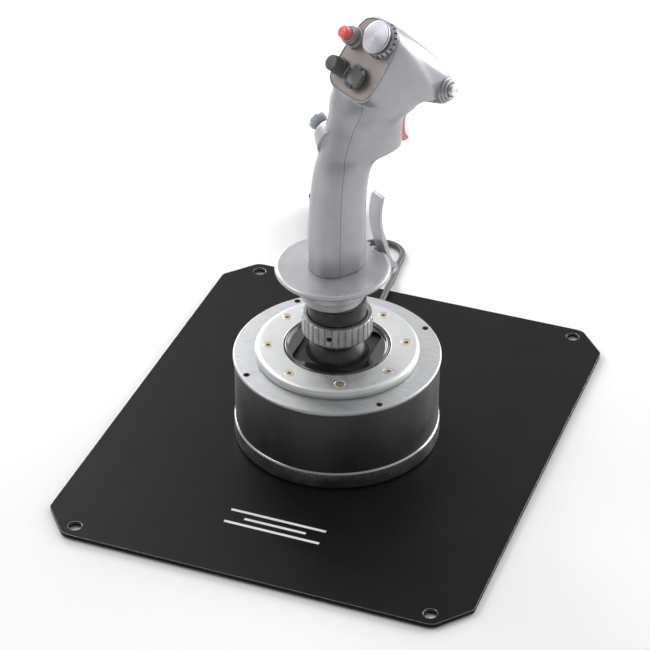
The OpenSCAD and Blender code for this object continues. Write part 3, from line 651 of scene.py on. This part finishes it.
def make_plate():
    """The CAD plate keeps its shape. Its edges are bare metal."""
    plate = frame["nodes"]["mounting_plate"]
    plate.data.materials.clear()
    plate.data.materials.append(LOOKS["plate_paint"].material)
    plate.data.materials.append(LOOKS["bare_edge"].material)
    weld = plate.modifiers.new("weld", "WELD")
    weld.merge_threshold = WELD_M
    soften(plate, 0.55, 2, 40)
    plate.modifiers["edges"].material = 1


def make_markings():
    """Plain white bars on the plate in front of the base."""
    bars = []
    for x, y, half_x in ((0, -112, 34), (0, -118.5, 22), (0, -125, 34)):
        bars.append(prism("bar", round_box(half_x, 1.1, 0.4, (x, y)), 0, 0.06))
    return finish_piece(merge("plate_marking", bars), "print_white", "base")


make_plate()
make_markings()

# ---------- housing ----------


def screw_heads(name, places, head_r, look, body, node, lobes=6, depth=1.2, rise=0.0):
    """Countersunk heads with a lobed recess, each sunk in its hole."""
    heads = []
    for n, place in enumerate(places):
        head = lathe("head", rounded([
            (0, -2.2), (head_r - 1.9, -2.2), (head_r - 0.1, -0.35, 0.1), (head_r - 0.25, rise, 0.25), (0, rise)
        ], steps=2), place, 40)
        star = [
            ((head_r * (0.44 + 0.07 * math.cos(lobes * a))) * math.cos(a),
             (head_r * (0.44 + 0.07 * math.cos(lobes * a))) * math.sin(a))
            for a in [k * math.pi / 24 for k in range(48)]
        ]
        combine(head, prism("star", star, rise - depth, rise + 1, place @ turn(n * 37, "Z")))
        heads.append(head)
    made = merge(name, heads)
    soften(made, 0.1, 1, 50)
    return finish_piece(made, look, body, [node])


def make_housing():
    cover = lathe("base_ring", rounded([
        (0, 0), (70.5, 0, 0.2), (72, 1.5, 0.4), (72, 12.5, 0.2), (71.2, 13.5, 0.2), (70.6, 13.6), (67.3, 13.6),
        (67.3, 19), (64.5, 19), (64.5, 4), (0, 4)
    ], steps=2), segments=192)
    combine(cover, prism("relief_hole", circle(4.02), 54, 80, PLATE @ shift(-19, 0, 8.4) @ turn(-90, "X")))
    finish_piece(cover, "cover_alu", "base", ["base_cover"], angle=25)

    shell = lathe("housing_barrel", rounded([
        (67.5, 13.7), (70.6, 13.7, 0.2), (71, 14.1, 0.2), (71, 60.8, 0.2), (70.6, 61.2, 0.2),
        (62, 61.2), (62, 54), (67.5, 48)
    ], steps=2), segments=192)
    finish_piece(shell, "shell_black", "base", ["housing_shell"], angle=25)

    ring = lathe("top_plate_ring", rounded([
        (38, 61.2), (71.2, 61.2, 0.3), (72, 62, 0.3), (72, 63.7, 0.3), (71.1, 64.6, 0.3), (38, 64.6)
    ], steps=3), segments=192)
    for place in around(4, 67.7, 45):
        combine(ring, prism("hole", circle(2.25, segments=32), 55, 70, PLATE @ place))
    soften(ring, 0.15, 1, 60)
    finish_piece(ring, "ring_alu", "base", ["top_ring"], angle=25)
    set_screws = []
    for n, place in enumerate(around(4, 67.7, 45)):
        at = PLATE @ place
        screw = lathe("screw", rounded([(0, 58), (2.15, 58), (2.15, 63.6, 0.3), (0, 63.6)], steps=2), at, 32)
        combine(screw, prism("hex", circle(1.15, segments=6), 61.5, 66, at @ turn(n * 25, "Z")))
        set_screws.append(screw)
    finish_piece(merge("set_screws", set_screws), "dark_screw", "base", ["top_ring_screws"])

    flange = lathe("gate_ring", rounded([
        (35, 64.6), (56.4, 64.6, 0.3), (56.4, 65.3, 0.1), (57, 65.5, 0.4),
        (57, 67.6, 0.6), (56.5, 69.6, 1), (54.6, 71, 1.2),
        (52, 71.1, 0.4), (37.4, 71.1, 0.3), (36.9, 70.6, 0.2), (36.9, 67), (35, 67)
    ], steps=4), segments=192)
    for place in around(8, 47.5, 22.5):
        sink = lathe("sink", [(0, 60), (2, 60), (2, 69.2), (3.9, 71.2), (3.9, 74), (0, 74)], PLATE @ place, 40)
        combine(flange, sink)
    soften(flange, 0.12, 1, 60)
    finish_piece(flange, "flange_alu", "base", ["gate_flange"], angle=25)
    screw_heads(
        "gate_screws", [PLATE @ p @ shift(0, 0, 71.0) for p in around(8, 47.5, 22.5)], 3.7, "zinc_screw", "base",
        "flange_screws",
    )

    gate = lathe("gate_frame", rounded(
        [(0, 67), (36.7, 67), (36.7, 70, 0.8), (35.2, 71.4, 1.3),
         (33.8, 70.4, 0.8), (33.4, 69, 0.5), (0, 68.8)], steps=4
    ), segments=160)
    combine(gate, prism("opening", round_box(25.3, 25.3, 7, steps=12), 60, 80))
    soften(gate, 0.5, 3, 60)
    finish_piece(gate, "gate_plastic", "base", ["gate_insert"], angle=30)


make_housing()

# ---------- ball, collar and stub ----------


def make_ball():
    arc = [(22.3 * math.sin(a), 60 - 22.3 * math.cos(a)) for a in [math.pi * (0.2 + 0.58 * k / 40) for k in range(41)]]
    profile = [(0, arc[0][1])] + arc + rounded([
        (15.4, 76.6, 0.3), (15.1, 78, 0.3), (15, 80, 0.3), (15, 84, 0.1), (19.5, 84.1, 0.2), (19.5, 87, 0.4), (0, 87)
    ], closed=False, steps=3)
    ball = lathe("pivot_sphere", profile, PLATE, 128)
    finish_piece(ball, "ball_metal", "stick", ["pivot_ball"], angle=30)


def rib_radius(angle, r, z):
    """Broad ribs with narrow valleys, only on the band of the collar."""
    if r < 23.9 or z < 84.5:
        return r
    wave = abs(math.sin(16 * angle))
    return r - 0.85 * (1 - min(1, wave * 2.6)) ** 0.8


def make_collar():
    collar = lathe("collar_ring", rounded([
        (15.1, 81.5), (21.6, 81.5, 0.3), (22.3, 82.2, 0.3), (23.7, 83.9, 0.3), (23.8, 84.4), (24.3, 84.6), (24.3, 85.2),
        (24.3, 96.8), (24.3, 97.2), (23.6, 97.9), (23.2, 98), (21, 98, 0.3),
        (20.5, 97.4, 0.3), (20.5, 83.6), (15.1, 83.6)
    ], steps=2), segments=384, radius=rib_radius)
    hole = prism("hole", circle(2), 15, 30, PLATE @ turn(-83, "Z") @ shift(0, 0, 90.5) @ turn(90, "Y"))
    combine(collar, hole)
    finish_piece(collar, "collar_metal", "collar", ["collar_nut"], angle=28)


def make_stub():
    """A fine right-hand thread, shown as a ripple that climbs one pitch a turn."""
    bottom, thread_top, top = 90.8, 109, 111.8
    root_r, thread_depth, pitch = 19.7, 0.55, 2
    segments, steps_per_turn = 96, 8
    rings = []
    for k in range(int((top - bottom) / pitch * steps_per_turn) + 1):
        z = bottom + k * pitch / steps_per_turn
        ring = []
        for s in range(segments):
            a = s * 2 * math.pi / segments
            phase = (z / pitch - s / segments) % 1
            r = root_r + thread_depth * (1 - abs(2 * phase - 1)) * (z < thread_top)
            ring.append((r * math.cos(a), r * math.sin(a), z))
        rings.append(ring)
    stub = build("threaded_neck", *skin(rings), GRIP)
    finish_piece(stub, "ball_metal", "grip", ["threaded_stub"], angle=50)


make_ball()
make_collar()
make_stub()

# ---------- hand rest and paddle ----------

REST_Y = -4


def make_hand_rest():
    rest = lathe("palm_rest", rounded([
        (8, 112), (20.4, 112, 0.3), (21.4, 113, 0.5), (21.4, 118, 1),
        (24.6, 119.2, 1), (26, 120.8, 0.6), (26, 125.2, 0.8),
        (30, 127.8, 1.5), (36, 131.6, 1.5), (39, 133.6, 1.5), (39.3, 136, 1.2),
        (37, 137.1, 0.8), (33.5, 136.7, 1), (8, 136.7)
    ], steps=4), GRIP @ shift(0, REST_Y, 0), 160)
    notch = prism("notch", round_box(6.8, 12, 1.5, (0, 43)), 121.9, 145, GRIP)
    combine(rest, notch)
    soften(rest, 0.4, 2, 60)
    finish_piece(rest, "rest_metal", "grip", ["hand_rest"], angle=30)


def side_outline(name, half, points, steps=4):
    """A plate cut to an outline of (y, z), with its thickness across the grip."""
    line = smooth_line([*points, points[0]], steps, 0.5)[:-1]
    return prism(name, line, -half, half, GRIP @ ACROSS)


def make_paddle():
    paddle = side_outline("squeeze_paddle", 6, [
        (34.8, 179.5), (33, 170), (32.8, 160), (34.8, 150), (37.8, 142),
        (40.2, 132), (43.6, 124), (43.6, 119.6), (40, 118.4),
        (37.9, 121), (37.2, 132), (34.8, 140), (32.2, 149), (30.6, 159), (30.8, 170), (32.4, 177.5)
    ])
    soften(paddle, 0.9, 3, 50)
    finish_piece(paddle, "paddle_metal", "paddle", ["paddle"], angle=35)


def make_trigger():
    trigger = side_outline("trigger_blade", 3.5, [
        (50.5, 246), (53, 247.6), (56.4, 246), (57, 241.5), (54.2, 236),
        (52.8, 231), (52.8, 226), (53.8, 221), (56.2, 217),
        (53.4, 215.8), (50.6, 216.6), (50, 222), (50, 230), (50.2, 238)
    ])
    soften(trigger, 1.1, 4, 50)
    finish_piece(trigger, "trigger_red", "trigger", ["trigger"], angle=35)


make_hand_rest()
make_paddle()
make_trigger()

# ---------- grip shells ----------

# Sections of the grip: rear y and z, front y and z, half width, roundness
SECTIONS = [
    (-20, 136.6, 18.3, 136.6, 16, 2.6), (-20, 163, 18.3, 163, 16, 2.6), (-18, 186, 18.3, 185, 16, 2.6),
    (-16, 202, 19.8, 201, 16, 2.6), (-14, 213, 23, 211, 16, 2.5), (-12.5, 219, 30, 216.5, 16.2, 2.4),
    (-11, 224, 46, 217.4, 16.44, 2.45), (-9.5, 229, 48.6, 220, 16.5, 2.5), (-7, 237, 48.6, 229, 16.8, 2.45),
    (-3.5, 247, 49, 238, 18, 2.4), (0, 257, 52, 244, 20.5, 2.8), (4, 264.6, 54.5, 245.5, 21.6, 3),
    (-9, 280, 57, 246, 22.2, 3), (1, 292, 62.5, 246, 22.8, 3), (13, 304, 68, 244, 22.8, 3),
    (27, 313, 72, 241.5, 22, 2.8), (43, 304, 75, 240, 19.5, 2.5), (60, 288.5, 79, 239, 17.3, 2.5),
    (73, 275, 82.5, 241, 15.3, 2.5), (81.5, 263, 85.5, 246, 13, 2.4)
]
HEAD_START = 11
SEAM = [(-9, 120), (-9, 165), (-8, 195), (-6, 212), (-2.5, 228), (2, 242), (6, 255), (10.2, 272.2)]
NORMAL = Vector((0, -math.sin(math.radians(FACE_SLOPE)), math.cos(math.radians(FACE_SLOPE))))
# Where the three shell screws sit on the grip's left side, as y and z
SHELL_SCREWS = [(-11.9, 152), (-11.5, 170), (-11.2, 188)]


def section_ring(row, count=72):
    """A squared oval that stands across the grip, from its rear point to its front point."""
    rear, front = Vector((0, row[0], row[1])), Vector((0, row[2], row[3]))
    middle, half = (rear + front) / 2, (front - rear) / 2
    ring = []
    for k in range(count):
        a = 2 * math.pi * k / count
        c, s = math.cos(a), math.sin(a)
        across = math.copysign(abs(c) ** (2 / row[5]), c) * row[4]
        along = math.copysign(abs(s) ** (2 / row[5]), s)
        ring.append(Vector((across, 0, 0)) + middle + half * along)
    return ring


def grip_form():
    """The whole outside of the grip as one smooth closed body, with its flat face cut."""
    rows = smooth_line(SECTIONS[:HEAD_START + 1], 5)[:-1] + smooth_line(SECTIONS[HEAD_START:HEAD_START + 2], 3)[:-1]
    rows += smooth_line(SECTIONS[HEAD_START + 1:], 5)
    form = build("grip_form", *skin([section_ring(row) for row in rows]), GRIP)
    block = prism("block", round_box(60, 90, 1), 0, 90, FACE)
    combine(form, block)
    beak_top = Vector((0, 54, 288))
    beak_from_m = 0.04
    cut_depth = 1.1
    for hand in (-1, 1):
        edge = Vector((-9 * hand, 54.5, -50)).normalized()
        out = Vector((0.66 * hand, 0.5, 0.56))
        out = (out - edge * out.dot(edge)).normalized()
        axes = Matrix((edge.cross(out), edge, out)).transposed().to_4x4()
        reach = max((v.co / MM - beak_top).dot(out) for v in form.data.vertices if v.co.y > beak_from_m)
        plane = GRIP @ shift(*(beak_top + out * (reach - cut_depth))) @ axes
        combine(form, prism("shoulder", round_box(30, 60, 1), 0, 20, plane))
    side = lathe("side", rounded([(0, -14), (13.6, -12), (8.4, 0, 0.8), (0, 0)], steps=3), SIDE_BOSS, 64)
    beak = lathe("beak", rounded([(0, -15), (9.8, -15), (9.8, -1, 0.6), (0, -1)], steps=3), BEAK_BOSS, 64)
    combine(form, [side, beak], "UNION")
    remesh = form.modifiers.new("remesh", "REMESH")
    remesh.mode = "VOXEL"
    remesh.voxel_size = 0.9 * MM
    smooth = form.modifiers.new("smooth", "SMOOTH")
    smooth.factor = 0.5
    smooth.iterations = 4
    return bake(form)


def face_outline(inset):
    """The edge of the flat face in the face's own frame, drawn in by inset."""
    rows = smooth_line(SECTIONS[HEAD_START:], 12)
    slope = math.radians(FACE_SLOPE)
    along = Vector((0, math.cos(slope), math.sin(slope)))
    origin = Vector(FACE_ORIGIN)
    right = []
    for row in rows:
        ring = section_ring(row, 240)
        for a, b in zip(ring, ring[1:] + ring[:1]):
            da, db = (a - origin).dot(NORMAL), (b - origin).dot(NORMAL)
            if da * db < 0 and a.x > 0:
                p = a.lerp(b, da / (da - db))
                right.append((p.x, (p - origin).dot(along)))
    right.sort(key=lambda p: math.atan2(p[1] - 16, p[0]))
    line = right + [(-x, s) for x, s in reversed(right)]
    made = []
    for i, p in enumerate(line):
        tangent = Vector(line[(i + 2) % len(line)]) - Vector(line[i - 2])
        normal = Vector((tangent.y, -tangent.x)).normalized()
        made.append(tuple(Vector(p) - normal * inset))
    return made


def rear_prism(reach):
    """The rear part of the grip, up to the seam and reach further."""
    seam = smooth_line(SEAM, 6)
    outline = [(-60, 120)] + [(y + reach, z) for y, z in seam] + [(-60, 330)]
    return prism("rear", outline, -40, 40, GRIP @ ACROSS)


def make_shells():
    form = grip_form()
    front = link("front_shell_skin", form.data.copy(), GRIP)
    rear = link("rear_shell_skin", form.data, GRIP)
    bpy.data.objects.remove(form)
    seam_gap = 0.12
    for shell in (front, rear):
        combine(shell, prism("recess", face_outline(1.3), -1.2, 6, FACE))
    combine(front, rear_prism(seam_gap))
    combine(rear, rear_prism(-seam_gap), "INTERSECT")
    slot = prism("slot", rounded([
        (44, 213, 2), (58.5, 213, 2), (58.5, 250, 2), (44, 250, 2)
    ]), -4, 4, GRIP @ ACROSS)
    combine(front, slot)
    for at in SHELL_SCREWS:
        combine(rear, prism("counterbore", circle(2.8, at), -20, -12, GRIP @ ACROSS))
    finish_piece(front, "grip_metal", "grip", ["front_shell"], angle=45)
    finish_piece(rear, "grip_metal", "grip", ["rear_shell"], angle=45)


def make_panel():
    panel = prism("button_panel", face_outline(1.55), -2.6, -0.25, FACE)
    for at in (TRIM_AT, CASTLE_AT, ROUND_AT):
        combine(panel, prism("hole", circle(4.3, at), -5, 3, FACE))
    soften(panel, 0.35, 2, 40)
    finish_piece(panel, "panel_dark", "grip", ["head_panel"], angle=30)


make_shells()
make_panel()

# ---------- hats and buttons ----------


def hat_stem(place, top):
    """The stem that joins a hat to its rocker, from inside the cup up to top."""
    return lathe("stem", [(0, -8.4), (3, -8.4), (3, top), (0, top)], place, 32)


def make_trim_hat():
    dome = [(0, 4.2), (3, 4.2), (9, 5.5)]
    dome += [(10.8 + 0.35 * math.sin(a), 6.9 - 0.8 * math.cos(a)) for a in [math.pi * k / 10 for k in range(2, 10)]]
    grooves = 11
    for k in range(grooves * 6):
        r = 10.6 * (1 - k / (grooves * 6))
        dip = 0.16 * max(0, math.cos(2 * math.pi * k / 6)) ** 3
        dome.append((r, 7.9 + 1.3 * (1 - (r / 10.6) ** 2) - dip))
    dome.append((0, 9.2))
    hat = lathe("trim_cap", dome, on_face(TRIM_AT), 96)
    stem = hat_stem(on_face(TRIM_AT), 5)
    finish_piece(merge("trim_cap", [hat, stem]), "hat_silver", "trim_hat", ["trim_hat"], angle=40)

    ring = lathe("trim_socket_ring", rounded([
        (7, -0.2), (12.4, -0.2), (12.4, 0.5, 0.2), (12, 1.6, 0.4), (10.8, 3.2, 0.5), (7.6, 3.4, 0.4), (7, 2.6, 0.3)
    ], steps=3), on_face(TRIM_AT), 96)
    notches = [
        prism("notch", round_box(0.9, 0.7, 0.5), 0.6, 5, on_face(TRIM_AT) @ p) for p in around(20, 11.7, 9)
    ]
    combine(ring, merge("notches", notches))
    cup = lathe("cup", [(0, -12.4), (5.2, -12.4), (5.2, -3), (4.3, -3), (4.3, -11), (0, -11)], on_face(TRIM_AT), 40)
    made = merge("trim_socket_ring", [ring, cup])
    soften(made, 0.12, 1, 50)
    finish_piece(made, "collar_metal", "grip", ["trim_base"], angle=35)


def hat_socket(name, place, look, node, lip_r=5.6):
    """The cup under a hat, with the small lip that shows round its stem."""
    cup = lathe(name, rounded([
        (0, -12.4), (5.2, -12.4), (5.2, -2.9), (5.2, -0.3), (lip_r, -0.3),
        (lip_r, 0.3, 0.2), (4.3, 0.6, 0.2), (4.3, -11), (0, -11)
    ], steps=2), place, 64)
    finish_piece(cup, look, "grip", [node], angle=35)


def make_castle_hat():
    place = on_face(CASTLE_AT)
    crown = lathe("castle_crown", rounded([
        (0, 1.4), (7, 1.4, 0.3), (8.1, 2.4, 0.6), (8.4, 5.2, 0.6), (7.9, 6.2, 0.5),
        (6.7, 6.2, 0.4), (6.1, 4.2, 0.8), (3.4, 3.6, 0.8),
        (0, 3.5)
    ], steps=3), place, 96)
    for a in (0, 90):
        combine(crown, prism("gap", round_box(11, 2.4, 0.3), 4.1, 8, place @ turn(a + 45, "Z")))
    stem = hat_stem(place, 2)
    soften(crown, 0.3, 2, 45)
    bake(crown)
    finish_piece(merge("castle_crown", [crown, stem]), "hat_dark", "castle_hat", ["castle_hat"], angle=35)
    hat_socket("castle_socket", place, "hat_base_dark", "castle_base")


def make_round_hat():
    place = on_face(ROUND_AT)

    def knurl(angle, r, z):
        return r - 0.35 * (0.5 + 0.5 * math.cos(20 * angle)) if z > 5.4 and r > 4.6 else r

    knob = lathe("round_knob", rounded([
        (0, 1.4), (5.8, 1.4, 0.3), (6.4, 2.6, 0.5), (6.1, 3.6, 0.4), (4.8, 3.8, 0.3),
        (4.8, 5, 0.3), (5.7, 5.3, 0.3), (5.6, 5.9),
        (5.2, 10.4), (4.6, 11, 0.3), (0, 11.1)
    ], steps=3), place, 160, knurl)
    stem = hat_stem(place, 2)
    finish_piece(merge("round_knob", [knob, stem]), "hat_dark", "round_hat", ["round_hat"], angle=35)
    hat_socket("round_socket", place, "hat_base_dark", "round_base")


def make_side_hat():
    cap = lathe("side_crown", rounded([
        (0, 4.2), (4.6, 4, 0.3), (5.6, 5, 0.4), (6.3, 6.2, 0.5), (6.3, 8.8, 0.5),
        (5.8, 9.3, 0.3), (4.4, 9.2, 0.3), (3.6, 8, 0.5), (0, 7.8)
    ], steps=3), SIDE_BOSS, 80)
    for a in (0, 90):
        combine(cap, prism("gap", round_box(9, 1.5, 0.3), 8, 12, SIDE_BOSS @ turn(a, "Z")))
    soften(cap, 0.25, 2, 45)
    bake(cap)
    stem = hat_stem(SIDE_BOSS, 4.5)
    finish_piece(merge("side_crown", [cap, stem]), "side_cap", "side_hat", ["side_hat"], angle=35)
    hat_socket("side_socket", SIDE_BOSS, "side_brass", "side_base", 6.4)


def make_buttons():
    sleeve = lathe("pickle_sleeve", rounded([
        (4.35, -9), (5.1, -9), (5.1, -0.3), (7.4, -0.3), (7.4, 1.2, 0.3),
        (7.1, 2.4, 0.3), (6.4, 2.7, 0.2), (6.4, 6.6, 0.4), (5.9, 7.1, 0.2),
        (5.9, 8.5, 0.4), (5.2, 9.1, 0.3), (4.35, 9)
    ], steps=3), on_face(PICKLE_AT), 80)
    finish_piece(sleeve, "collar_metal", "grip", ["pickle_collar"], angle=35)
    button = lathe("pickle_cap", rounded([
        (0, -7), (4, -7), (4.2, 9, 0.1), (4.3, 13.2, 0.9), (3.6, 14.7, 1.2), (0, 15)
    ], steps=5), on_face(PICKLE_AT), 64)
    finish_piece(button, "button_red", "pickle_button", ["pickle_button"], angle=40)

    rings = lathe("front_button_ring", rounded([
        (4.7, -8), (5.9, -8), (5.9, -1.2), (9.4, -1.2), (9.4, 0.6, 0.4),
        (8.2, 1.3, 0.3), (8.2, 2.5, 0.4), (6.9, 3.1, 0.3), (6.9, 4.5, 0.4),
        (5.6, 5.1, 0.3), (4.7, 4.9, 0.1)
    ], steps=3), BEAK_BOSS, 80)
    finish_piece(rings, "collar_metal", "grip", ["front_button_collar"], angle=35)
    cap = [(0, -6), (4.5, -6), (4.5, 6.2)]
    cap += [(3.5 + math.sin(a), 7.2 - math.cos(a)) for a in [math.pi / 2 * (1 + k / 6) for k in range(7)]]
    cap += [
        (3.5 * (1 - k / 18), 8.2 - 0.15 * max(0, math.cos(2 * math.pi * k / 6)) ** 2) for k in range(1, 18)
    ]
    cap.append((0, 8.2))
    finish_piece(lathe("front_cap", cap, BEAK_BOSS, 64), "button_silver", "front_button", ["front_button"], angle=40)


make_trim_hat()
make_castle_hat()
make_round_hat()
make_side_hat()
make_buttons()

# ---------- the other CAD nodes ----------

for name, node in frame["nodes"].items():
    if name == "mounting_plate":
        continue
    node.data.materials.clear()
    node.data.materials.append(LOOKS[SLOT_OF[name]].material)

# ---------- floor and light ----------


def make_floor():
    mesh = bpy.data.meshes.new("floor")
    reach = 6
    corners = [(x * reach, y * reach, 0) for x, y in ((-1, -1), (1, -1), (1, 1), (-1, 1))]
    mesh.from_pydata(corners, [], [(0, 1, 2, 3)])
    floor = bpy.data.objects.new("floor", mesh)
    mesh.materials.append(LOOKS["floor"].material)
    bpy.context.scene.collection.objects.link(floor)


def make_light(name, at, size, power, aim=(0, 0, 0.15)):
    data = bpy.data.lights.new(name, "AREA")
    data.shape = "RECTANGLE"
    data.size, data.size_y = size
    data.energy = power
    lamp = bpy.data.objects.new(name, data)
    lamp.location = at
    lamp.rotation_euler = (Vector(aim) - Vector(at)).to_track_quat("-Z", "Y").to_euler()
    bpy.context.scene.collection.objects.link(lamp)


def make_world():
    """A white studio that is brightest behind the object, and dim on the camera's side."""
    world = bpy.data.worlds.new("studio")
    world.use_nodes = True
    nodes, links = world.node_tree.nodes, world.node_tree.links
    axes = nodes.new("ShaderNodeSeparateXYZ")
    links.new(nodes.new("ShaderNodeTexCoord").outputs["Generated"], axes.inputs[0])
    fade = nodes.new("ShaderNodeMapRange")
    for key, number in (("From Min", -0.6), ("From Max", 0.5), ("To Min", 0.35), ("To Max", 1.0)):
        fade.inputs[key].default_value = number
    links.new(axes.outputs[1], fade.inputs["Value"])
    nodes["Background"].inputs["Color"].default_value = (1, 1, 1, 1)
    links.new(fade.outputs[0], nodes["Background"].inputs["Strength"])
    bpy.context.scene.world = world
    bpy.context.scene.view_settings.view_transform = "Standard"


make_floor()
make_world()
make_light("key", (-1.4, -0.3, 1.7), (1.2, 0.8), 11)
make_light("left", (-1.3, 1.1, 0.6), (0.7, 1.2), 16)
make_light("right", (1.15, 1.45, 0.6), (1.6, 1.2), 21)
